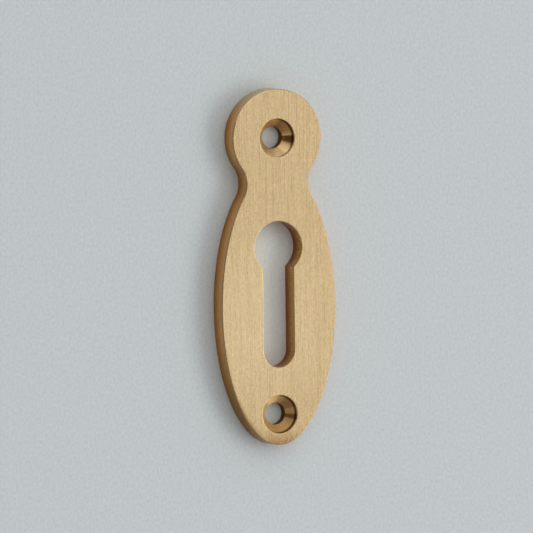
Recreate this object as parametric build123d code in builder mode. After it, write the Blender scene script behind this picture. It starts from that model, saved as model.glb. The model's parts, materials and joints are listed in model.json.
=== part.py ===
from build123d import *

import os

# Keyhole escutcheon: one flat brass plate with a round head, a waisted neck and an oval body,
# pierced by a keyhole and by two screw holes whose countersinks are sunk below the face.
# Millimetres, +Z up as the plate is fixed. The back face lies on Y = 0 and the front looks
# along -Y. The origin is the centre of the keyhole's round, on the back face.

# Plate
plate_thickness = 3.0
head_radius = 7.55
head_rise = 16.9  # centre of the head above the keyhole's round
body_half_width = 9.7
body_half_height = 21.3
body_drop = 9.2  # centre of the oval below the keyhole's round
neck_radius = 4.1  # hollow corner between head and oval
front_edge_radius = 0.12  # eased outer edge of the front face

# Keyhole
round_radius = 4.05
slot_width = 5.22
slot_reach = 18.5  # foot of the slot below the keyhole's round
keyhole_edge_radius = 0.1

# Screw holes, for 3 mm countersunk wood screws
bore_radius = 1.7
sink_radius = 2.95
sink_angle = 90.0
sink_recess = 0.5  # straight wall between the face and the cone
sink_edge_radius = 0.1
lower_screw_drop = 25.75  # lower screw below the keyhole's round

with BuildPart(Plane.XZ) as plate:
    # Blank: head and oval in one, with a hollow corner on each side of the neck
    with BuildSketch(Plane.XZ):
        with Locations((0, head_rise)):
            Circle(head_radius)
        with Locations((0, -body_drop)):
            Ellipse(body_half_width, body_half_height)
    extrude(amount=plate_thickness)
    fillet(plate.edges().filter_by(Edge.is_interior), neck_radius)

    # Eased edge round the front
    front = plate.faces().sort_by(Axis.Y).first
    fillet(front.outer_wire().edges(), front_edge_radius)

    # Keyhole: a round with a round-footed slot below it
    slot_run = slot_reach - slot_width / 2
    with BuildSketch(Plane.XZ):
        Circle(round_radius)
        with Locations((0, -slot_run / 2)):
            SlotCenterToCenter(slot_run, slot_width, rotation=90)
    extrude(amount=plate_thickness, mode=Mode.SUBTRACT)
    front = plate.faces().sort_by(Axis.Y).first
    fillet(front.inner_wires().edges(), keyhole_edge_radius)

    # Screw holes: the upper one is concentric with the head
    sink_height = plate_thickness - sink_recess
    with Locations((0, head_rise, sink_height), (0, -lower_screw_drop, sink_height)):
        CounterSinkHole(bore_radius, sink_radius, counter_sink_angle=sink_angle)
    front = plate.faces().sort_by(Axis.Y).first
    sink_rims = front.inner_wires().edges().filter_by(lambda rim: rim.is_closed)
    fillet(sink_rims, sink_edge_radius)

os.makedirs("parts", exist_ok=True)
plate.part.label = "escutcheon_plate"
export_step(plate.part, "parts/escutcheon_plate.step")
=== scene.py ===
import bpy
import json
import math
from mathutils import Matrix, Vector


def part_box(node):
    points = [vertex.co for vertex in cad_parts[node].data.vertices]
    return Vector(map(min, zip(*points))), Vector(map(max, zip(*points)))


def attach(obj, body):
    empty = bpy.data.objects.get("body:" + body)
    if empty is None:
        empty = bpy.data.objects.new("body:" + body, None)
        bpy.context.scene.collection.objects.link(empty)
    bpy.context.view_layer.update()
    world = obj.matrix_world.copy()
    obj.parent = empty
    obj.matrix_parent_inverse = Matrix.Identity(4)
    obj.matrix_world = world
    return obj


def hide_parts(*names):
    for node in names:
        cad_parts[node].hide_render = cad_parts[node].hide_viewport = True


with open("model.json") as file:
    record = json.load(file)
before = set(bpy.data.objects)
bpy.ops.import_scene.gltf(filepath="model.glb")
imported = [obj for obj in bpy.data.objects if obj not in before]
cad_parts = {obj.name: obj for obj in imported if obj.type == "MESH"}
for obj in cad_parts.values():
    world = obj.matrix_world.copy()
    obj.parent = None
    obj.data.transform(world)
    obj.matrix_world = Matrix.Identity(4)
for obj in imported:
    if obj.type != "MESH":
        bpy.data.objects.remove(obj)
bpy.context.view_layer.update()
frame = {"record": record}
scene = bpy.context.scene
mm = 0.001
print("frame loaded: keyhole escutcheon, one brass plate")


def linearColour(hexColour):
    # sRGB hex to the linear RGBA that Blender's sockets hold
    channels = [int(hexColour[i:i + 2], 16) / 255 for i in (1, 3, 5)]
    return [c / 12.92 if c <= 0.04045 else ((c + 0.055) / 1.055) ** 2.4 for c in channels] + [1.0]


def addNode(tree, kind, settings=None, inputs=None):
    # inputs holds sockets to link from, or plain values
    node = tree.nodes.new(kind)
    for name, value in (settings or {}).items():
        setattr(node, name, value)
    for name, value in (inputs or {}).items():
        if isinstance(value, bpy.types.NodeSocket):
            tree.links.new(value, node.inputs[name])
        else:
            node.inputs[name].default_value = value
    return node


def newMaterial(name):
    material = bpy.data.materials.new(name)
    material.use_nodes = True
    material.node_tree.nodes.clear()
    return material, material.node_tree


# the values between which a noise is stretched to full contrast, and to a softer one
noiseSpan = (0.3, 0.7)
softSpan = (0.25, 0.75)


# Brushed satin brass: the face was drawn upright over a fine abrasive belt, so it is pale and matt, with
# hair-fine upright lines, and it smears what it mirrors sideways. On the oval, left of the keyhole, a
# paler patch is painted light, for the brighter reflection there. The foot is mottled and a deeper gold,
# and low on the left the same deep colour is painted shade, where the edge looks rolled over.
brushedFinish = {
    "pale": "#D3BC95",
    "deep": "#AC946C",
    "toneRange": (2.3, 8.2),  # the tone that is all deep, and the one that is all pale
    "grainWeight": 6.8,
    "bandWeight": 0.2,
    "paintedLightAt": (-5.0, -11.0),  # mm right of and above the keyhole's round
    "paintedLightReach": (20.0, 19.0),  # mm across and upright
    "paintedLightTone": 1.9,  # added to the tone in its middle
    "foot": "#8C693E",
    "footHeight": 2.8,  # mm above the plate's lowest point
    "footFade": (1.5, 0.25),  # shares of that height over which the foot's colour comes in
    "rolledWay": (-0.53, 0.0, -0.85),  # from the oval's middle to the rolled edge
    "rolledSpan": (0.9, 0.99),  # cosines of the angle from that way, from none to full
    "rolledRim": (0.93, 1.02),  # shares of the way from the oval's middle to its edge
    "roughness": 0.28,
    "roughSpread": (-0.03, 0.03),
    "anisotropy": 0.6,
    "lineWidth": 0.14,  # mm across a line; a belt's own lines are finer, and wouldn't show
    "lineLength": 9.0,
    "grain": 0.17,  # specks between the lines
    "bandWidth": 2.2,
    "bandLength": 24.0,
    "mottle": 0.3,  # mm across a fleck at the foot's border
    "bumpDepth": 0.0007,
}


def brushedBrass(finish, sizes):
    material, tree = newMaterial("brushedSatinBrass")
    place = addNode(tree, "ShaderNodeTexCoord").outputs["Object"]
    noises = []
    for width, length, detail in (("lineWidth", "lineLength", 1.0), ("grain", "grain", 0.0),
                                  ("bandWidth", "bandLength", 1.0), ("mottle", "mottle", 1.0)):
        scale = (1 / (finish[width] * mm), 1 / (finish[width] * mm), 1 / (finish[length] * mm))
        spot = addNode(tree, "ShaderNodeMapping", None, {"Vector": place, "Scale": scale})
        noise = addNode(tree, "ShaderNodeTexNoise", None,
                        {"Vector": spot.outputs[0], "Scale": 1.0, "Detail": detail, "Roughness": 0.5})
        noises.append(noise.outputs[0])
    lines, grain, bands, mottle = noises

    # the brushing's tone, with a patch of painted light added
    fine = addNode(tree, "ShaderNodeMath", {"operation": "MULTIPLY_ADD"},
                   {0: grain, 1: finish["grainWeight"], 2: lines})
    tone = addNode(tree, "ShaderNodeMath", {"operation": "MULTIPLY_ADD"},
                   {0: bands, 1: finish["bandWeight"], 2: fine.outputs[0]})
    # a paler patch of painted light, left of the keyhole
    across, up = (distance * mm for distance in finish["paintedLightAt"])
    wide, tall = (distance * mm for distance in finish["paintedLightReach"])
    fromPaintedLight = addNode(tree, "ShaderNodeVectorMath", {"operation": "SUBTRACT"},
                         {0: place, 1: (across, 0, up)})
    spread = addNode(tree, "ShaderNodeVectorMath", {"operation": "MULTIPLY"},
                     {0: fromPaintedLight.outputs[0], 1: (1 / wide, 0, 1 / tall)})
    apart = addNode(tree, "ShaderNodeVectorMath", {"operation": "LENGTH"}, {0: spread.outputs[0]})
    paintedLight = addNode(tree, "ShaderNodeMapRange", {"interpolation_type": "SMOOTHSTEP"},
                     {"Value": apart.outputs["Value"], "From Min": 1.0, "From Max": 0.0,
                      "To Max": finish["paintedLightTone"]})
    litTone = addNode(tree, "ShaderNodeMath", {"operation": "ADD"},
                   {0: tone.outputs[0], 1: paintedLight.outputs[0]})
    start, end = finish["toneRange"]
    share = addNode(tree, "ShaderNodeMapRange", None,
                    {"Value": litTone.outputs[0], "From Min": start, "From Max": end})
    brushed = addNode(tree, "ShaderNodeMix", {"data_type": "RGBA"},
                      {0: share.outputs[0], 6: linearColour(finish["deep"]),
                       7: linearColour(finish["pale"])})

    # a deeper gold at the foot, up to a mottled border
    foot, footHeight = sizes["ovalFoot"], finish["footHeight"]
    start, end = ((foot + part * footHeight) * mm for part in finish["footFade"])
    height = addNode(tree, "ShaderNodeSeparateXYZ", None, {0: place})
    ragged = addNode(tree, "ShaderNodeMath", {"operation": "MULTIPLY_ADD"},
                     {0: mottle, 1: footHeight * mm, 2: height.outputs[2]})
    low = addNode(tree, "ShaderNodeMapRange", {"interpolation_type": "SMOOTHSTEP"},
                  {"Value": ragged.outputs[0], "From Min": start, "From Max": end})

    # and painted shade low on the left, where the edge looks rolled over
    halfWidth, halfHeight = sizes["ovalHalfWidth"], sizes["ovalHalfHeight"]
    fromMiddle = addNode(tree, "ShaderNodeVectorMath", {"operation": "SUBTRACT"},
                         {0: place, 1: (0, 0, (foot + halfHeight) * mm)})
    scale = (1 / (halfWidth * mm), 0, 1 / (halfHeight * mm))
    inOval = addNode(tree, "ShaderNodeVectorMath", {"operation": "MULTIPLY"},
                     {0: fromMiddle.outputs[0], 1: scale})
    reach = addNode(tree, "ShaderNodeVectorMath", {"operation": "LENGTH"}, {0: inOval.outputs[0]})
    start, end = finish["rolledRim"]
    rim = addNode(tree, "ShaderNodeMapRange", {"interpolation_type": "SMOOTHSTEP"},
                  {"Value": reach.outputs["Value"], "From Min": start, "From Max": end})
    facing = addNode(tree, "ShaderNodeVectorMath", {"operation": "DOT_PRODUCT"},
                     {0: inOval.outputs[0], 1: finish["rolledWay"]})
    start, end = finish["rolledSpan"]
    rolled = addNode(tree, "ShaderNodeMapRange", {"interpolation_type": "SMOOTHSTEP"},
                     {"Value": facing.outputs["Value"], "From Min": start, "From Max": end,
                      "To Max": rim.outputs[0]})
    # the foot's deeper gold, and the painted shade by the edge
    footAndPaintedShade = addNode(tree, "ShaderNodeMath", {"operation": "MAXIMUM"},
                     {0: low.outputs[0], 1: rolled.outputs[0]})
    colour = addNode(tree, "ShaderNodeMix", {"data_type": "RGBA"},
                     {0: footAndPaintedShade.outputs[0], 6: brushed.outputs[2], 7: linearColour(finish["foot"])})

    start, end = softSpan
    smooth, coarse = (finish["roughness"] + change for change in finish["roughSpread"])
    rough = addNode(tree, "ShaderNodeMapRange", None,
                    {"Value": lines, "From Min": start, "From Max": end,
                     "To Min": smooth, "To Max": coarse})
    bump = addNode(tree, "ShaderNodeBump", None,
                   {"Strength": 1.0, "Distance": finish["bumpDepth"] * mm, "Height": fine.outputs[0]})
    along = addNode(tree, "ShaderNodeTangent", {"direction_type": "UV_MAP", "uv_map": "marks"})
    shader = addNode(tree, "ShaderNodeBsdfPrincipled", None,
                     {"Base Color": colour.outputs[2], "Metallic": 1.0, "Roughness": rough.outputs[0],
                      "Anisotropic": finish["anisotropy"], "Tangent": along.outputs[0],
                      "Normal": bump.outputs[0]})
    addNode(tree, "ShaderNodeOutputMaterial", None, {"Surface": shader.outputs[0]})
    return material


# Walls of the plate. The outer edge is linished along its run, which leaves long faint streaks; the
# keyhole is filed through from the front, which leaves short chatter marks across its wall. Both are
# a deeper gold than the face, and towards the back they are painted deeper still, as painted shade near
# the wall. Round the crown the edge is painted pale, a painted reflection of the light above, and it is
# darker towards the foot.
linishedEdge = {
    "name": "linishedBrassEdge",
    "pale": "#F4BB79",
    "deep": "#DFA562",
    # painted shade towards the back, near the wall
    "back": "#C18124",
    "backShadeReach": (0.8, 0.0),  # from where to where the painted shade deepens it, as shares of the thickness
    "roughness": 0.26,
    "roughSpread": (0.05, -0.03),  # added in its deep and in its pale marks
    "markRun": 5.0,  # mm along the edge
    "markAcross": 0.14,  # mm across the wall
    # a pale painted reflection of the light above, round the crown
    "paintedLight": "#DAC297",
    "paintedLightReach": (19.5, 24.3),  # mm above the keyhole's round
    # darker towards the foot
    "deeperLow": "#AC7412",
    "deeperLowReach": (-12.0, -28.0),
}
filedKeyhole = {
    "name": "filedBrassKeyhole",
    "pale": "#E8B464",
    "deep": "#B88238",
    # painted shade towards the back, near the wall
    "back": "#A05E2C",
    "backShadeReach": (0.86, 0.12),
    "roughness": 0.3,
    "roughSpread": (0.05, -0.03),
    "markRun": 0.32,
    "markAcross": 1.2,
}


def wallBrass(finish, thickness):
    material, tree = newMaterial(finish["name"])
    low, high = noiseSpan
    marks = addNode(tree, "ShaderNodeUVMap", {"uv_map": "marks"})
    scale = (1 / (finish["markRun"] * mm), 1 / (finish["markAcross"] * mm), 1)
    spot = addNode(tree, "ShaderNodeMapping", None, {"Vector": marks.outputs[0], "Scale": scale})
    streaks = addNode(tree, "ShaderNodeTexNoise", {"noise_dimensions": "2D"},
                      {"Vector": spot.outputs[0], "Scale": 1.0, "Detail": 2.0})
    share = addNode(tree, "ShaderNodeMapRange", None,
                    {"Value": streaks.outputs[0], "From Min": low, "From Max": high})
    colour = addNode(tree, "ShaderNodeMix", {"data_type": "RGBA"},
                     {0: share.outputs[0], 6: linearColour(finish["deep"]),
                      7: linearColour(finish["pale"])})
    place = addNode(tree, "ShaderNodeTexCoord").outputs["Object"]
    split = addNode(tree, "ShaderNodeSeparateXYZ", None, {0: place})
    # painted shade towards the back of the wall
    start, end = (-part * thickness * mm for part in finish["backShadeReach"])
    behind = addNode(tree, "ShaderNodeMapRange", {"interpolation_type": "SMOOTHSTEP"},
                     {"Value": split.outputs[1], "From Min": start, "From Max": end})
    shaded = addNode(tree, "ShaderNodeMix", {"data_type": "RGBA"},
                     {0: behind.outputs[0], 6: colour.outputs[2], 7: linearColour(finish["back"])})
    # painted reflection round the crown, and a darker colour towards the foot
    for name in ("paintedLight", "deeperLow"):
        if name in finish:
            start, end = (height * mm for height in finish[name + "Reach"])
            there = addNode(tree, "ShaderNodeMapRange", {"interpolation_type": "SMOOTHSTEP"},
                            {"Value": split.outputs[2], "From Min": start, "From Max": end})
            shaded = addNode(tree, "ShaderNodeMix", {"data_type": "RGBA"},
                             {0: there.outputs[0], 6: shaded.outputs[2], 7: linearColour(finish[name])})
    deepRough, paleRough = (finish["roughness"] + change for change in finish["roughSpread"])
    rough = addNode(tree, "ShaderNodeMapRange", None,
                    {"Value": streaks.outputs[0], "From Min": low, "From Max": high,
                     "To Min": deepRough, "To Max": paleRough})
    shader = addNode(tree, "ShaderNodeBsdfPrincipled", None,
                     {"Base Color": shaded.outputs[2], "Metallic": 1.0, "Roughness": rough.outputs[0]})
    addNode(tree, "ShaderNodeOutputMaterial", None, {"Surface": shader.outputs[0]})
    return material


# Burnished brass edges: the eased corners of the face are smooth, so they draw a thin dark line round
# the plate; their colour is darker than the face, painted shade that deepens that line and dims their
# highlights, and on the left of the crown a pale painted highlight is mixed in. Round the holes they are
# nearly as pale as the face.
outerCorner = {
    "name": "burnishedBrassEdge",
    # darker than the face: painted shade
    "colour": "#A4865A",
    # the painted highlight on the left of the crown
    "paintedLight": "#D2B586",
    "paintedLightWay": (-0.8, 0.0, 1.0),  # up and to the left
    "paintedLightReach": (24.8, 25.8),  # products with that way, in mm, from none to full
    "roughness": 0.22,
}
holeCorner = {
    "name": "burnishedBrassHoleEdge",
    "colour": "#BFA478",
    "roughness": 0.22,
}


def burnishedBrass(finish):
    material, tree = newMaterial(finish["name"])
    colour = linearColour(finish["colour"])
    # a pale painted highlight, up and to the left on the crown
    if "paintedLight" in finish:
        place = addNode(tree, "ShaderNodeTexCoord").outputs["Object"]
        reach = addNode(tree, "ShaderNodeVectorMath", {"operation": "DOT_PRODUCT"},
                        {0: place, 1: finish["paintedLightWay"]})
        start, end = (distance * mm for distance in finish["paintedLightReach"])
        there = addNode(tree, "ShaderNodeMapRange", {"interpolation_type": "SMOOTHSTEP"},
                        {"Value": reach.outputs["Value"], "From Min": start, "From Max": end})
        colour = addNode(tree, "ShaderNodeMix", {"data_type": "RGBA"},
                         {0: there.outputs[0], 6: colour, 7: linearColour(finish["paintedLight"])}).outputs[2]
    shader = addNode(tree, "ShaderNodeBsdfPrincipled", None,
                     {"Base Color": colour, "Metallic": 1.0, "Roughness": finish["roughness"]})
    addNode(tree, "ShaderNodeOutputMaterial", None, {"Surface": shader.outputs[0]})
    return material


# Turned brass: the countersinks were cut by a turning bit, whose fine rings smear what they mirror
# outwards into bright and dark sectors. The upper one is clean; in the lower one the bit chattered, so
# its rings are coarse and its sectors dull. Both have bright and dark sectors painted in, as painted
# reflections, darkest at half past one and at three, and painted shade on the right, in the corner above
# the cone. The bores below are painted dark, as painted shade.
cleanSink = {
    "name": "turnedBrassSink",
    "clean": "#E0C08C",
    # bright and dark sectors painted in: painted reflections
    "paintedSectors": (  # at: degrees clockwise from the top, then how far from there it is full and ends
        {"at": (335, 12, 42), "colour": "#E6AE6F"},
        {"at": (45, 15, 46), "colour": "#98744C"},
        {"at": (96, 8, 15), "colour": "#946838"},
    ),
    "ringTone": 0.86,  # how dark the rings are
    # painted shade in the corner above the cone, on the right
    "cornerShade": "#54260A",
    "cornerShadeAt": (60, 40, 75),
    "cornerShadeReach": 0.3,  # mm from the corner
    # painted shade inside the bore
    "bore": "#6E4A28",
    "boreBlend": 0.05,  # mm above and below the bore's top over which its colour comes in
    "roughness": 0.26,
    "anisotropy": 0.94,
    "ringPitch": 0.11,  # mm from ring to ring
    "ringDepth": 0.002,
}
chatteredSink = {
    "name": "chatteredBrassSink",
    "clean": "#BC9A66",
    # bright and dark sectors painted in: painted reflections
    "paintedSectors": (
        {"at": (340, 10, 32), "colour": "#EAC690"},
        {"at": (215, 25, 60), "colour": "#B08C58"},
        {"at": (50, 10, 30), "colour": "#A07C52"},
        {"at": (80, 4, 14), "colour": "#C8A470"},
        {"at": (101, 3, 11), "colour": "#84603A"},
    ),
    "ringTone": 0.7,
    # painted shade in the corner above the cone, on the right
    "cornerShade": "#381405",
    "cornerShadeAt": (97, 75, 110),
    "cornerShadeReach": 0.26,
    # painted shade inside the bore
    "bore": "#6E4A28",
    "boreBlend": 0.05,
    "roughness": 0.58,
    "anisotropy": 0.5,
    "ringPitch": 0.2,
    "ringDepth": 0.006,
}


def turnedBrass(finish, middle, coneTop, boreTop):
    material, tree = newMaterial(finish["name"])
    low, high = noiseSpan
    marks = addNode(tree, "ShaderNodeUVMap", {"uv_map": "marks"})
    split = addNode(tree, "ShaderNodeSeparateXYZ", None, {"Vector": marks.outputs[0]})
    rings = addNode(tree, "ShaderNodeTexNoise", {"noise_dimensions": "1D"},
                    {"W": split.outputs[1], "Scale": 1 / (finish["ringPitch"] * mm), "Detail": 2.0})

    # sectors round the screw's axis, for the painted reflections and the painted shade in the corner
    place = addNode(tree, "ShaderNodeTexCoord").outputs["Object"]
    level = addNode(tree, "ShaderNodeSeparateXYZ", None, {0: place})
    offset = addNode(tree, "ShaderNodeVectorMath", {"operation": "SUBTRACT"},
                     {0: place, 1: (0, 0, middle * mm)})
    flat = addNode(tree, "ShaderNodeVectorMath", {"operation": "MULTIPLY"},
                   {0: offset.outputs[0], 1: (1, 0, 1)})
    way = addNode(tree, "ShaderNodeVectorMath", {"operation": "NORMALIZE"}, {0: flat.outputs[0]})
    sectors = []
    for angles in [paintedSector["at"] for paintedSector in finish["paintedSectors"]] + [finish["cornerShadeAt"]]:
        clock, full, none = (math.radians(angle) for angle in angles)
        facing = addNode(tree, "ShaderNodeVectorMath", {"operation": "DOT_PRODUCT"},
                         {0: way.outputs[0], 1: (math.sin(clock), 0, math.cos(clock))})
        sector = addNode(tree, "ShaderNodeMapRange", {"interpolation_type": "SMOOTHSTEP"},
                         {"Value": facing.outputs["Value"], "From Min": math.cos(none),
                          "From Max": math.cos(full)})
        sectors.append(sector.outputs[0])
    tint = linearColour(finish["clean"])
    for paintedSector, sector in zip(finish["paintedSectors"], sectors):
        tint = addNode(tree, "ShaderNodeMix", {"data_type": "RGBA"},
                       {0: sector, 6: tint, 7: linearColour(paintedSector["colour"])}).outputs[2]
    tone = addNode(tree, "ShaderNodeMapRange", None,
                   {"Value": rings.outputs[0], "From Min": low, "From Max": high,
                    "To Min": finish["ringTone"], "To Max": 2 - finish["ringTone"]})
    colour = addNode(tree, "ShaderNodeVectorMath", {"operation": "SCALE"},
                     {0: tint, "Scale": tone.outputs[0]})

    # painted shade in the corner above the cone, then the bore's painted shade below it
    above = addNode(tree, "ShaderNodeMath", {"operation": "SUBTRACT"},
                    {0: level.outputs[1], 1: coneTop * mm})
    away = addNode(tree, "ShaderNodeMath", {"operation": "ABSOLUTE"}, {0: above.outputs[0]})
    inCorner = addNode(tree, "ShaderNodeMapRange", {"interpolation_type": "SMOOTHSTEP"},
                       {"Value": away.outputs[0], "From Min": finish["cornerShadeReach"] * mm,
                        "From Max": 0.0, "To Max": sectors[-1]})
    lined = addNode(tree, "ShaderNodeMix", {"data_type": "RGBA"},
                    {0: inCorner.outputs[0], 6: colour.outputs[0], 7: linearColour(finish["cornerShade"])})
    # the bore's painted shade
    start, end = ((boreTop + change) * mm for change in (-finish["boreBlend"], finish["boreBlend"]))
    inBore = addNode(tree, "ShaderNodeMapRange", None,
                     {"Value": level.outputs[1], "From Min": start, "From Max": end})
    boreShaded = addNode(tree, "ShaderNodeMix", {"data_type": "RGBA"},
                      {0: inBore.outputs[0], 6: lined.outputs[2], 7: linearColour(finish["bore"])})
    bump = addNode(tree, "ShaderNodeBump", None,
                   {"Strength": 1.0, "Distance": finish["ringDepth"] * mm, "Height": rings.outputs[0]})
    along = addNode(tree, "ShaderNodeTangent", {"direction_type": "UV_MAP", "uv_map": "marks"})
    shader = addNode(tree, "ShaderNodeBsdfPrincipled", None,
                     {"Base Color": boreShaded.outputs[2], "Metallic": 1.0,
                      "Roughness": finish["roughness"], "Anisotropic": finish["anisotropy"],
                      "Anisotropic Rotation": 0.25,  # a quarter turn, so the smear crosses the rings
                      "Tangent": along.outputs[0], "Normal": bump.outputs[0]})
    addNode(tree, "ShaderNodeOutputMaterial", None, {"Surface": shader.outputs[0]})
    return material


# The plate: its overall sizes and holes come from the frame, in millimetres
mounts = {mount["name"]: mount for mount in frame["record"]["mounts"]}
boxLow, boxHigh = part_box("escutcheon_plate")
upperScrew = mounts["upper_screw_hole"]["pos_m"][2] / mm
lowerScrew = mounts["lower_screw_hole"]["pos_m"][2] / mm

plateSizes = {
    "thickness": (boxHigh.y - boxLow.y) / mm,
    "headRadius": boxHigh.z / mm - upperScrew,
    "headRise": upperScrew,
    "ovalHalfWidth": boxHigh.x / mm,
    "ovalHalfHeight": 21.3,
    "ovalFoot": boxLow.z / mm,
    "neckRadius": 4.1,
    "edgeRadius": 0.12,
    "keyRadius": mounts["key_round"]["dims"]["r_mm"],
    "slotWidth": 5.22,
    "slotFoot": -18.5,
    "keyEdgeRadius": 0.1,
    "boreRadius": mounts["upper_screw_hole"]["dims"]["r_mm"],
    "sinkRadius": 2.95,
    "sinkRecess": 0.5,
    "sinkEdgeRadius": 0.1,
    "hold": 0.05,  # flat strip beside each rounded edge, which keeps the face's shading flat
    "step": 0.2,  # longest chord round a curve
    "edgePoints": 10,  # points across a rounded edge
    "flatness": 0.0001,  # a height this near the face's counts as the face
    "weld": 0.002,  # points this near become one
    "sharpAngle": 25.0,  # degrees; flatter edges are shaded smooth
}


def arcPoints(centre, radius, start, end, step, fewest=8):
    # points along an arc, both ends included; angles in radians
    count = max(fewest, math.ceil(abs(end - start) * radius / step))
    angles = [start + (end - start) * i / count for i in range(count + 1)]
    return [(centre[0] + radius * math.cos(a), centre[1] + radius * math.sin(a)) for a in angles]


def plateOutline(sizes):
    # right side from foot to crown: oval, hollow neck arc, head; then mirrored
    width, height, neck = sizes["ovalHalfWidth"], sizes["ovalHalfHeight"], sizes["neckRadius"]
    middle = sizes["ovalFoot"] + height

    def neckCentre(turn):
        # the oval's point at this angle, pushed out along its normal
        out = Vector((math.cos(turn) / width, math.sin(turn) / height)).normalized()
        return Vector((width * math.cos(turn), middle + height * math.sin(turn))) + out * neck

    # halving finds where on the oval an arc starts that also touches the head
    headCentre = Vector((0, sizes["headRise"]))
    low, high = 0.0, math.pi / 2
    halvings = 60
    for _ in range(halvings):
        turn = (low + high) / 2
        if (neckCentre(turn) - headCentre).length > sizes["headRadius"] + neck:
            low = turn
        else:
            high = turn
    centre = neckCentre(turn)
    toHead = headCentre - centre
    toOval = Vector((width * math.cos(turn), middle + height * math.sin(turn))) - centre
    headAngle = math.atan2(toHead.y, toHead.x)
    ovalAngle = math.atan2(toOval.y, toOval.x) % (2 * math.pi)
    count = math.ceil((turn + math.pi / 2) * height / sizes["step"])
    turns = [-math.pi / 2 + (turn + math.pi / 2) * i / count for i in range(count + 1)]
    oval = [(width * math.cos(t), middle + height * math.sin(t)) for t in turns]
    hollow = arcPoints(centre, neck, ovalAngle, headAngle, sizes["step"])
    head = arcPoints(headCentre, sizes["headRadius"], headAngle - math.pi, math.pi / 2, sizes["step"])
    right = oval + hollow[1:] + head[1:]
    left = [(-x, z) for x, z in reversed(right[1:-1])]
    return right + left


def keyholeOutline(sizes):
    # round from throat to throat over the top, then the round-footed slot
    radius, half = sizes["keyRadius"], sizes["slotWidth"] / 2
    throat = -math.acos(half / radius)
    footCentre = (0, sizes["slotFoot"] + half)
    return (arcPoints((0, 0), radius, throat, math.pi - throat, sizes["step"])
            + arcPoints(footCentre, half, math.pi, 2 * math.pi, sizes["step"]))


def boreOutline(sizes, height):
    # a small loop, so half the step
    return arcPoints((0, height), sizes["boreRadius"], 0, 2 * math.pi, sizes["step"] / 2)[:-1]


# parts of the plate's surface, each with a finish of its own
zones = {"face": 0, "edge": 1, "keyhole": 2, "corner": 3, "upperSink": 4, "lowerSink": 5, "holeCorner": 6}


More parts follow.
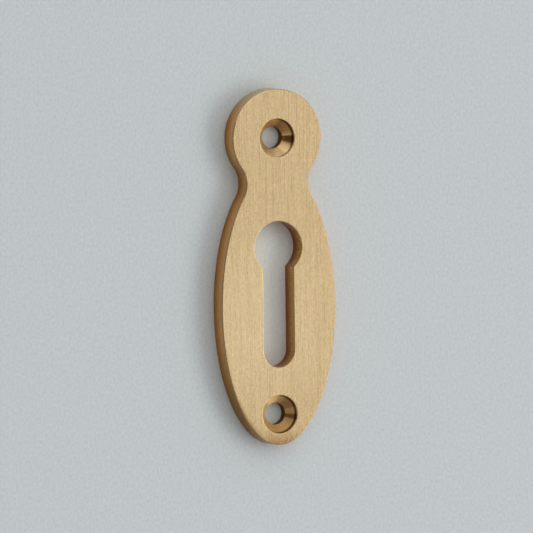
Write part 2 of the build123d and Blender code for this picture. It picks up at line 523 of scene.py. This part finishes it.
def rimTree(sizes):
    # sweeps a rounded edge, an optional countersink and the wall below it round one loop
    tree = bpy.data.node_groups.new("plateRim", "GeometryNodeTree")
    socket = tree.interface.new_socket
    socket("Loop", in_out="INPUT", socket_type="NodeSocketGeometry")
    for name in ("Thickness", "Edge Radius", "Sink Width", "Straight", "Cone Depth", "Hold", "Side",
                 "Zone", "Corner Zone"):
        socket(name, in_out="INPUT", socket_type="NodeSocketFloat")
    for name in ("Rim", "Front Loop", "Back Loop"):
        socket(name, in_out="OUTPUT", socket_type="NodeSocketGeometry")
    given = addNode(tree, "NodeGroupInput").outputs

    # heights and distances into the metal of the section's corners
    sums = {}
    for name, operation, first, second in (
        ("arcIn", "ADD", given["Sink Width"], given["Edge Radius"]),
        ("arcLow", "SUBTRACT", given["Thickness"], given["Edge Radius"]),
        ("faceIn", "ADD", "arcIn", given["Hold"]),
        ("coneTop", "SUBTRACT", given["Thickness"], given["Straight"]),
        ("coneLow", "SUBTRACT", "coneTop", given["Cone Depth"]),
    ):
        first = sums.get(first, first)
        total = addNode(tree, "ShaderNodeMath", {"operation": operation}, {0: first, 1: second})
        sums[name] = total.outputs[0]
    corners = {}
    for name, across, height in (
        ("face", sums["faceIn"], given["Thickness"]),
        ("arcTop", sums["arcIn"], given["Thickness"]),
        ("arcCentre", sums["arcIn"], sums["arcLow"]),
        ("arcFoot", given["Sink Width"], sums["arcLow"]),
        ("coneTop", given["Sink Width"], sums["coneTop"]),
        ("coneLow", 0.0, sums["coneLow"]),
        ("back", 0.0, 0.0),
    ):
        corners[name] = addNode(tree, "ShaderNodeCombineXYZ", None, {0: across, 1: height}).outputs[0]

    join = addNode(tree, "GeometryNodeJoinGeometry")
    for start, end in (("face", "arcTop"), ("arcFoot", "coneTop"), ("coneTop", "coneLow"),
                       ("coneLow", "back")):
        line = addNode(tree, "GeometryNodeCurvePrimitiveLine", None,
                       {"Start": corners[start], "End": corners[end]})
        tree.links.new(line.outputs[0], join.inputs[0])
    arc = addNode(tree, "GeometryNodeCurveArc", {"mode": "RADIUS"},
                  {"Resolution": sizes["edgePoints"], "Radius": given["Edge Radius"],
                   "Start Angle": math.pi / 2, "Sweep Angle": math.pi / 2})
    arcPlaced = addNode(tree, "GeometryNodeTransform", None,
                        {"Geometry": arc.outputs[0], "Translation": corners["arcCentre"]})
    tree.links.new(arcPlaced.outputs[0], join.inputs[0])
    mirror = addNode(tree, "ShaderNodeCombineXYZ", None, {0: given["Side"], 1: -1.0, 2: 1.0})
    section = addNode(tree, "GeometryNodeTransform", None,
                      {"Geometry": join.outputs[0], "Scale": mirror.outputs[0]})

    # marks: U runs round the loop and V across the section, both in metres
    level = addNode(tree, "GeometryNodeSetCurveNormal", {"mode": "Z_UP"}, {0: given["Loop"]})
    run = addNode(tree, "GeometryNodeSplineParameter")
    loopRun = addNode(tree, "GeometryNodeCaptureAttribute", None, {0: level.outputs[0]})
    loopRun.capture_items.new("FLOAT", "Run")
    tree.links.new(run.outputs["Length"], loopRun.inputs[1])
    position = addNode(tree, "GeometryNodeInputPosition")
    sectionRun = addNode(tree, "GeometryNodeCaptureAttribute", None, {0: section.outputs[0]})
    sectionRun.capture_items.new("VECTOR", "Across")
    tree.links.new(position.outputs[0], sectionRun.inputs[1])
    sweep = addNode(tree, "GeometryNodeCurveToMesh", None,
                    {"Curve": loopRun.outputs[0], "Profile Curve": sectionRun.outputs[0]})
    split = addNode(tree, "ShaderNodeSeparateXYZ", None, {0: sectionRun.outputs[1]})
    depth = addNode(tree, "ShaderNodeMath", {"operation": "SUBTRACT"},
                    {0: split.outputs[0], 1: split.outputs[1]})
    wallMarks = addNode(tree, "ShaderNodeCombineXYZ", None, {0: loopRun.outputs[1], 1: depth.outputs[0]})
    # the section hangs upside down: height is minus its second coordinate
    height = addNode(tree, "ShaderNodeMath", {"operation": "MULTIPLY"}, {0: split.outputs[1], 1: -1.0})
    isWall = addNode(tree, "FunctionNodeCompare", {"data_type": "FLOAT", "operation": "LESS_THAN"},
                     {0: height.outputs[0], 1: sums["arcLow"]})
    isFlat = addNode(tree, "FunctionNodeCompare", {"data_type": "FLOAT", "operation": "EQUAL"},
                     {0: height.outputs[0], 1: given["Thickness"], "Epsilon": sizes["flatness"] * mm})
    rounded = addNode(tree, "GeometryNodeSwitch", {"input_type": "FLOAT"},
                      {0: isFlat.outputs[0], 1: given["Corner Zone"], 2: zones["face"]})
    zone = addNode(tree, "GeometryNodeSwitch", {"input_type": "FLOAT"},
                   {0: isWall.outputs[0], 1: rounded.outputs[0], 2: given["Zone"]})
    mirrored = addNode(tree, "FunctionNodeCompare", {"data_type": "FLOAT", "operation": "GREATER_THAN"},
                       {0: given["Side"], 1: 0.0})
    outside = addNode(tree, "GeometryNodeFlipFaces", None,
                      {"Mesh": sweep.outputs[0], "Selection": mirrored.outputs[0]})
    marked = addNode(tree, "GeometryNodeStoreNamedAttribute",
                     {"data_type": "FLOAT2", "domain": "CORNER"},
                     {"Geometry": outside.outputs[0], "Name": "marks", "Value": wallMarks.outputs[0]})
    rim = addNode(tree, "GeometryNodeStoreNamedAttribute", {"data_type": "INT", "domain": "FACE"},
                  {"Geometry": marked.outputs[0], "Name": "zone", "Value": zone.outputs[0]})

    # the loop where the rim meets the front face
    normal = addNode(tree, "GeometryNodeInputNormal")
    shift = addNode(tree, "ShaderNodeMath", {"operation": "MULTIPLY"},
                    {0: sums["faceIn"], 1: given["Side"]})
    outward = addNode(tree, "ShaderNodeVectorMath", {"operation": "SCALE"},
                      {0: normal.outputs[0], "Scale": shift.outputs[0]})
    front = addNode(tree, "GeometryNodeSetPosition", None,
                    {"Geometry": level.outputs[0], "Offset": outward.outputs[0]})
    addNode(tree, "NodeGroupOutput", None,
            {"Rim": rim.outputs[0], "Front Loop": front.outputs[0], "Back Loop": level.outputs[0]})
    return tree


def plateTree(rim, sizes):
    # a rim round each loop, and the two flat faces filled between them
    tree = bpy.data.node_groups.new("escutcheonPlate", "GeometryNodeTree")
    socket = tree.interface.new_socket
    socket("Loops", in_out="INPUT", socket_type="NodeSocketGeometry")
    for name in ("Thickness", "Edge Radius", "Key Edge Radius", "Sink Edge Radius", "Sink Width",
                 "Sink Recess", "Sink Depth", "Hold"):
        socket(name, in_out="INPUT", socket_type="NodeSocketFloat")
    for name in ("Face Finish", "Edge Finish", "Corner Finish", "Keyhole Finish", "Upper Sink Finish",
                 "Lower Sink Finish", "Hole Corner Finish"):
        socket(name, in_out="INPUT", socket_type="NodeSocketMaterial")
    socket("Plate", in_out="OUTPUT", socket_type="NodeSocketGeometry")
    given = addNode(tree, "NodeGroupInput").outputs

    # the loops' order: outline, keyhole, upper screw hole, lower screw hole
    index = addNode(tree, "GeometryNodeInputIndex")
    halfWall = addNode(tree, "ShaderNodeMath", {"operation": "MULTIPLY"},
                       {0: given["Thickness"], 1: 0.5})
    straight = addNode(tree, "ShaderNodeMath", {"operation": "ADD"},
                       {0: given["Edge Radius"], 1: given["Hold"]})
    frontJoin = addNode(tree, "GeometryNodeJoinGeometry")
    backJoin = addNode(tree, "GeometryNodeJoinGeometry")
    allJoin = addNode(tree, "GeometryNodeJoinGeometry")
    # width, straight and depth of the sink; on a plain wall, with no width, they only divide it
    flatWall = (0.0, straight.outputs[0], halfWall.outputs[0])
    sunkWall = (given["Sink Width"], given["Sink Recess"], given["Sink Depth"])
    for number, edge, (width, recess, depth), side, zone, cornerZone in (
        (0, given["Edge Radius"], flatWall, -1.0, "edge", "corner"),
        (1, given["Key Edge Radius"], flatWall, 1.0, "keyhole", "holeCorner"),
        (2, given["Sink Edge Radius"], sunkWall, 1.0, "upperSink", "holeCorner"),
        (3, given["Sink Edge Radius"], sunkWall, 1.0, "lowerSink", "holeCorner"),
    ):
        chosen = addNode(tree, "FunctionNodeCompare", {"data_type": "INT", "operation": "EQUAL"},
                         {2: index.outputs[0], 3: number})
        loop = addNode(tree, "GeometryNodeSeparateGeometry", {"domain": "CURVE"},
                       {0: given["Loops"], "Selection": chosen.outputs[0]})
        swept = addNode(tree, "GeometryNodeGroup", {"node_tree": rim},
                        {"Loop": loop.outputs[0], "Thickness": given["Thickness"], "Edge Radius": edge,
                         "Sink Width": width, "Straight": recess, "Cone Depth": depth,
                         "Hold": given["Hold"], "Side": side, "Zone": zones[zone],
                         "Corner Zone": zones[cornerZone]})
        tree.links.new(swept.outputs["Rim"], allJoin.inputs[0])
        tree.links.new(swept.outputs["Front Loop"], frontJoin.inputs[0])
        tree.links.new(swept.outputs["Back Loop"], backJoin.inputs[0])

    # marks on the faces: U runs across the brush lines
    position = addNode(tree, "GeometryNodeInputPosition")
    front = addNode(tree, "GeometryNodeFillCurve", {"mode": "TRIANGLES"}, {0: frontJoin.outputs[0]})
    back = addNode(tree, "GeometryNodeFillCurve", {"mode": "TRIANGLES"}, {0: backJoin.outputs[0]})
    lift = addNode(tree, "ShaderNodeCombineXYZ", None, {2: given["Thickness"]})
    frontUp = addNode(tree, "GeometryNodeTransform", None,
                      {"Geometry": front.outputs[0], "Translation": lift.outputs[0]})
    backOut = addNode(tree, "GeometryNodeFlipFaces", None, {0: back.outputs[0]})
    faces = addNode(tree, "GeometryNodeJoinGeometry")
    tree.links.new(frontUp.outputs[0], faces.inputs[0])
    tree.links.new(backOut.outputs[0], faces.inputs[0])
    marked = addNode(tree, "GeometryNodeStoreNamedAttribute",
                     {"data_type": "FLOAT2", "domain": "CORNER"},
                     {"Geometry": faces.outputs[0], "Name": "marks", "Value": position.outputs[0]})
    tree.links.new(marked.outputs[0], allJoin.inputs[0])

    weld = addNode(tree, "GeometryNodeMergeByDistance", None,
                   {0: allJoin.outputs[0], "Distance": sizes["weld"] * mm})
    stand = addNode(tree, "GeometryNodeTransform", None,
                    {"Geometry": weld.outputs[0], "Rotation": (math.pi / 2, 0, 0)})
    real = addNode(tree, "GeometryNodeRealizeInstances", None, {0: stand.outputs[0]})
    inZone = addNode(tree, "GeometryNodeInputNamedAttribute", {"data_type": "INT"}, {"Name": "zone"})
    done = addNode(tree, "GeometryNodeSetMaterial", None,
                   {"Geometry": real.outputs[0], "Material": given["Face Finish"]})
    for zone, finish in (("edge", "Edge Finish"), ("keyhole", "Keyhole Finish"),
                         ("corner", "Corner Finish"), ("upperSink", "Upper Sink Finish"),
                         ("lowerSink", "Lower Sink Finish"), ("holeCorner", "Hole Corner Finish")):
        here = addNode(tree, "FunctionNodeCompare", {"data_type": "INT", "operation": "EQUAL"},
                       {2: inZone.outputs[0], 3: zones[zone]})
        done = addNode(tree, "GeometryNodeSetMaterial", None,
                       {"Geometry": done.outputs[0], "Selection": here.outputs[0],
                        "Material": given[finish]})
    addNode(tree, "NodeGroupOutput", None, {0: done.outputs[0]})
    return tree


def loopCurve(name, loops):
    # closed loops of straight chords, drawn flat
    curve = bpy.data.curves.new(name, "CURVE")
    for points in loops:
        spline = curve.splines.new("POLY")
        spline.points.add(len(points) - 1)
        for point, (x, z) in zip(spline.points, points):
            point.co = (x * mm, z * mm, 0, 1)
        spline.use_cyclic_u = True
    return curve


def makePlate(sizes, finishes):
    loops = [plateOutline(sizes), keyholeOutline(sizes)]
    loops += [boreOutline(sizes, height) for height in (upperScrew, lowerScrew)]
    blank = bpy.data.objects.new("plateLoops", loopCurve("plateLoops", loops))
    scene.collection.objects.link(blank)
    modifier = blank.modifiers.new("plate", "NODES")
    modifier.node_group = plateTree(rimTree(sizes), sizes)
    sinkWidth = sizes["sinkRadius"] - sizes["boreRadius"]
    values = {
        "Thickness": sizes["thickness"], "Edge Radius": sizes["edgeRadius"],
        "Key Edge Radius": sizes["keyEdgeRadius"], "Sink Edge Radius": sizes["sinkEdgeRadius"],
        "Sink Width": sinkWidth, "Sink Recess": sizes["sinkRecess"],
        "Sink Depth": sinkWidth,  # a cone of 90 degrees is as deep as it is wide
        "Hold": sizes["hold"],
    }
    for item in modifier.node_group.interface.items_tree:
        if item.name in values:
            modifier[item.identifier] = values[item.name] * mm
        if item.name in finishes:
            modifier[item.identifier] = finishes[item.name]
    depsgraph = bpy.context.evaluated_depsgraph_get()
    mesh = bpy.data.meshes.new_from_object(blank.evaluated_get(depsgraph))
    blank.modifiers.remove(modifier)
    bpy.data.objects.remove(blank)
    mesh.name = "escutcheonPlate"
    mesh.materials.pop(index=0)  # the empty slot that a filled curve starts with
    mesh.attributes.remove(mesh.attributes["zone"])
    plate = bpy.data.objects.new("escutcheonPlate", mesh)
    scene.collection.objects.link(plate)
    return plate


coneTop = plateSizes["sinkRecess"] - plateSizes["thickness"]
boreTop = coneTop + plateSizes["sinkRadius"] - plateSizes["boreRadius"]
finishes = {
    "Face Finish": brushedBrass(brushedFinish, plateSizes),
    "Edge Finish": wallBrass(linishedEdge, plateSizes["thickness"]),
    "Corner Finish": burnishedBrass(outerCorner),
    "Hole Corner Finish": burnishedBrass(holeCorner),
    "Keyhole Finish": wallBrass(filedKeyhole, plateSizes["thickness"]),
    "Upper Sink Finish": turnedBrass(cleanSink, upperScrew, coneTop, boreTop),
    "Lower Sink Finish": turnedBrass(chatteredSink, lowerScrew, coneTop, boreTop),
}
plate = makePlate(plateSizes, finishes)
plate.data.set_sharp_from_angle(angle=math.radians(plateSizes["sharpAngle"]))
print("plate made:", len(plate.data.polygons), "faces")

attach(plate, "root")
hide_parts("escutcheon_plate")

# The camera, from the fit of the plate's edges in the photograph
cameraView = {
    "azimuth": -26.0,  # degrees, as the next two
    "elevation": 4.212,
    "roll": -0.636,
    "distance": 1500.0,  # mm
    "aim": (-0.584, 0.0, -3.073),  # mm
    "focal": 9735.0,  # pixels
    "frameWidth": 533,
    "sensorWidth": 36.0,
    "clipEnd": 10.0,  # m
}


def makeCamera(look):
    turn, rise, roll = (math.radians(look[name]) for name in ("azimuth", "elevation", "roll"))
    back = Vector((math.sin(turn) * math.cos(rise), -math.cos(turn) * math.cos(rise), math.sin(rise)))
    right = (-back).cross(Vector((0, 0, 1))).normalized()
    up = right.cross(-back)
    rolledRight = math.cos(roll) * right + math.sin(roll) * up
    rolledUp = math.cos(roll) * up - math.sin(roll) * right
    axes = Matrix((rolledRight, rolledUp, back)).transposed().to_4x4()
    data = bpy.data.cameras.new("photoCamera")
    data.sensor_width = look["sensorWidth"]
    data.lens = look["focal"] / look["frameWidth"] * look["sensorWidth"]
    data.clip_end = look["clipEnd"]
    camera = bpy.data.objects.new("photoCamera", data)
    camera.matrix_world = Matrix.Translation((Vector(look["aim"]) + back * look["distance"]) * mm) @ axes
    scene.collection.objects.link(camera)
    scene.camera = camera


makeCamera(cameraView)
print("camera placed")

# Stage: a pale painted wall behind the plate, open behind its back so that the back can be lit too,
# and a pale floor well below it
wallLook = {
    "pale": "#BEC3C4",
    "deep": "#B1B6B7",
    "holeBouncePale": "#CACDC9",  # the paint behind the holes is paler and a little yellow: painted bounce light from the brass
    "holeBounceDeep": "#BEC1BD",
    "halfWidth": 800.0,  # mm, of a square
    "gap": 0.01,  # mm behind the plate's back
    "lap": 0.02,  # mm that it reaches under the plate's edges
    "grain": (0.34, 0.34, 0.5),  # mm across a speck of the paint
    "floorDrop": 800.0,  # mm below the keyhole's round
    "floorReach": 3200.0,  # mm forwards, and to each side
    "floorColour": "#E4E6E6",
}


def wallPaint(look, name, pale, deep):
    # matt emulsion, rolled on: a faint fine speckle; it shows only from the front
    material, tree = newMaterial(name)
    low, high = softSpan
    place = addNode(tree, "ShaderNodeTexCoord").outputs["Object"]
    scale = [1 / (size * mm) for size in look["grain"]]
    spot = addNode(tree, "ShaderNodeMapping", None, {"Vector": place, "Scale": scale})
    grain = addNode(tree, "ShaderNodeTexNoise", None,
                    {"Vector": spot.outputs[0], "Scale": 1.0, "Detail": 1.0})
    share = addNode(tree, "ShaderNodeMapRange", None,
                    {"Value": grain.outputs[0], "From Min": low, "From Max": high})
    colour = addNode(tree, "ShaderNodeMix", {"data_type": "RGBA"},
                     {0: share.outputs[0], 6: linearColour(deep), 7: linearColour(pale)})
    paint = addNode(tree, "ShaderNodeBsdfDiffuse", None, {"Color": colour.outputs[2]})
    clear = addNode(tree, "ShaderNodeBsdfTransparent")
    side = addNode(tree, "ShaderNodeNewGeometry")
    mix = addNode(tree, "ShaderNodeMixShader", None,
                  {0: side.outputs["Backfacing"], 1: paint.outputs[0], 2: clear.outputs[0]})
    addNode(tree, "ShaderNodeOutputMaterial", None, {"Surface": mix.outputs[0]})
    return material


def makeSheet(name, loops, look, paint):
    # a filled flat curve stood upright behind the plate
    flat = loopCurve(name, loops)
    flat.dimensions = "2D"
    flat.fill_mode = "BOTH"
    blank = bpy.data.objects.new(name, flat)
    mesh = bpy.data.meshes.new_from_object(blank)
    bpy.data.objects.remove(blank)
    mesh.transform(Matrix.Translation((0, look["gap"] * mm, 0)) @ Matrix.Rotation(math.pi / 2, 4, "X"))
    mesh.materials.clear()
    mesh.materials.append(paint)
    sheet = bpy.data.objects.new(name, mesh)
    scene.collection.objects.link(sheet)


def makeWall(look, sizes):
    # the wall, less the plate's back, and what shows of it through the holes
    lap, half = look["lap"], look["halfWidth"]
    back = dict(sizes)
    for name, change in (("headRadius", -lap), ("ovalHalfWidth", -lap), ("ovalHalfHeight", -lap),
                         ("ovalFoot", lap), ("neckRadius", lap)):
        back[name] += change
    hole = dict(sizes)
    for name, change in (("keyRadius", lap), ("slotWidth", 2 * lap), ("slotFoot", -lap),
                         ("boreRadius", lap)):
        hole[name] += change
    border = [(-half, -half), (half, -half), (half, half), (-half, half)]
    makeSheet("paintedWall", [border, plateOutline(back)], look,
              wallPaint(look, "rolledMattPaint", look["pale"], look["deep"]))
    # the paint in the holes is paler and yellower: painted bounce light from the brass
    holes = [keyholeOutline(hole)] + [boreOutline(hole, height) for height in (upperScrew, lowerScrew)]
    makeSheet("wallInHoles", holes, look,
              wallPaint(look, "bounceLitMattPaint", look["holeBouncePale"], look["holeBounceDeep"]))


def makeFloor(look):
    # pale matt floor paint, plain, which the countersinks mirror
    material, tree = newMaterial("paleFloorPaint")
    paint = addNode(tree, "ShaderNodeBsdfDiffuse", None, {"Color": linearColour(look["floorColour"])})
    addNode(tree, "ShaderNodeOutputMaterial", None, {"Surface": paint.outputs[0]})
    reach, drop = (look[name] * mm for name in ("floorReach", "floorDrop"))
    mesh = bpy.data.meshes.new("paleFloor")
    corners = [(-reach, -reach, -drop), (reach, -reach, -drop), (reach, 0, -drop), (-reach, 0, -drop)]
    mesh.from_pydata(corners, [], [(0, 1, 2, 3)])
    mesh.materials.append(material)
    floor = bpy.data.objects.new("paleFloor", mesh)
    scene.collection.objects.link(floor)


makeWall(wallLook, plateSizes)
makeFloor(wallLook)
print("wall and floor made")

# Soft studio light: a dim room with broad soft panels in it, and a tall window-like key on the right.
# Places are degrees to the right of straight in front of the plate, and degrees up.
lightLook = {
    "roomStrength": 0.12,
    "panels": (  # each fades out between two angles from its middle
        {"place": (9, 36), "full": 5, "none": 48, "strength": 1.35},  # ceiling panel in front
        {"place": (12, -13), "full": 5, "none": 34, "strength": 0.5},  # low, what the face mirrors
        {"place": (-48, 47), "full": 12, "none": 30, "strength": 0.56},  # high on the left
        {"place": (50, 48), "full": 8, "none": 32, "strength": 0.65},  # high on the right
        {"place": (70, 20), "full": 10, "none": 32, "strength": 1.0},  # right of the key and above it
        {"place": (-118, 8), "full": 25, "none": 52, "strength": 0.45},  # far left, behind the wall
        {"place": (162, 17), "full": 30, "none": 80, "strength": 0.6},  # behind the wall, for the back
    ),
    "keyPlace": (51.5, -10),
    "keyDistance": 1.8,  # m
    "keySize": (0.8, 1.35),  # m across and upright
    "keyPower": 17.3,  # W
}


def lightWay(place):
    right, up = (math.radians(angle) for angle in place)
    return Vector((math.sin(right) * math.cos(up), -math.cos(right) * math.cos(up), math.sin(up)))


def makeLights(look):
    world = bpy.data.worlds.new("studioRoom")
    world.use_nodes = True
    tree = world.node_tree
    tree.nodes.clear()
    direction = addNode(tree, "ShaderNodeTexCoord").outputs["Generated"]
    total = look["roomStrength"]
    for panel in look["panels"]:
        facing = addNode(tree, "ShaderNodeVectorMath", {"operation": "DOT_PRODUCT"},
                         {0: direction, 1: lightWay(panel["place"])})
        start, end = (math.cos(math.radians(panel[name])) for name in ("none", "full"))
        glow = addNode(tree, "ShaderNodeMapRange", {"interpolation_type": "SMOOTHSTEP"},
                       {"Value": facing.outputs["Value"], "From Min": start, "From Max": end,
                        "To Max": panel["strength"]})
        total = addNode(tree, "ShaderNodeMath", {"operation": "ADD"},
                        {0: glow.outputs[0], 1: total}).outputs[0]
    sky = addNode(tree, "ShaderNodeBackground", None, {"Color": (1, 1, 1, 1), "Strength": total})
    addNode(tree, "ShaderNodeOutputWorld", None, {"Surface": sky.outputs[0]})
    scene.world = world
    data = bpy.data.lights.new("keyLight", "AREA")
    data.shape = "RECTANGLE"
    data.size, data.size_y = look["keySize"]
    data.energy = look["keyPower"]
    key = bpy.data.objects.new("keyLight", data)
    key.location = lightWay(look["keyPlace"]) * look["keyDistance"]
    key.rotation_euler = key.location.to_track_quat("Z", "Y").to_euler()
    key.visible_camera = False
    scene.collection.objects.link(key)


makeLights(lightLook)
scene.view_settings.view_transform = "Standard"
print("lights placed")
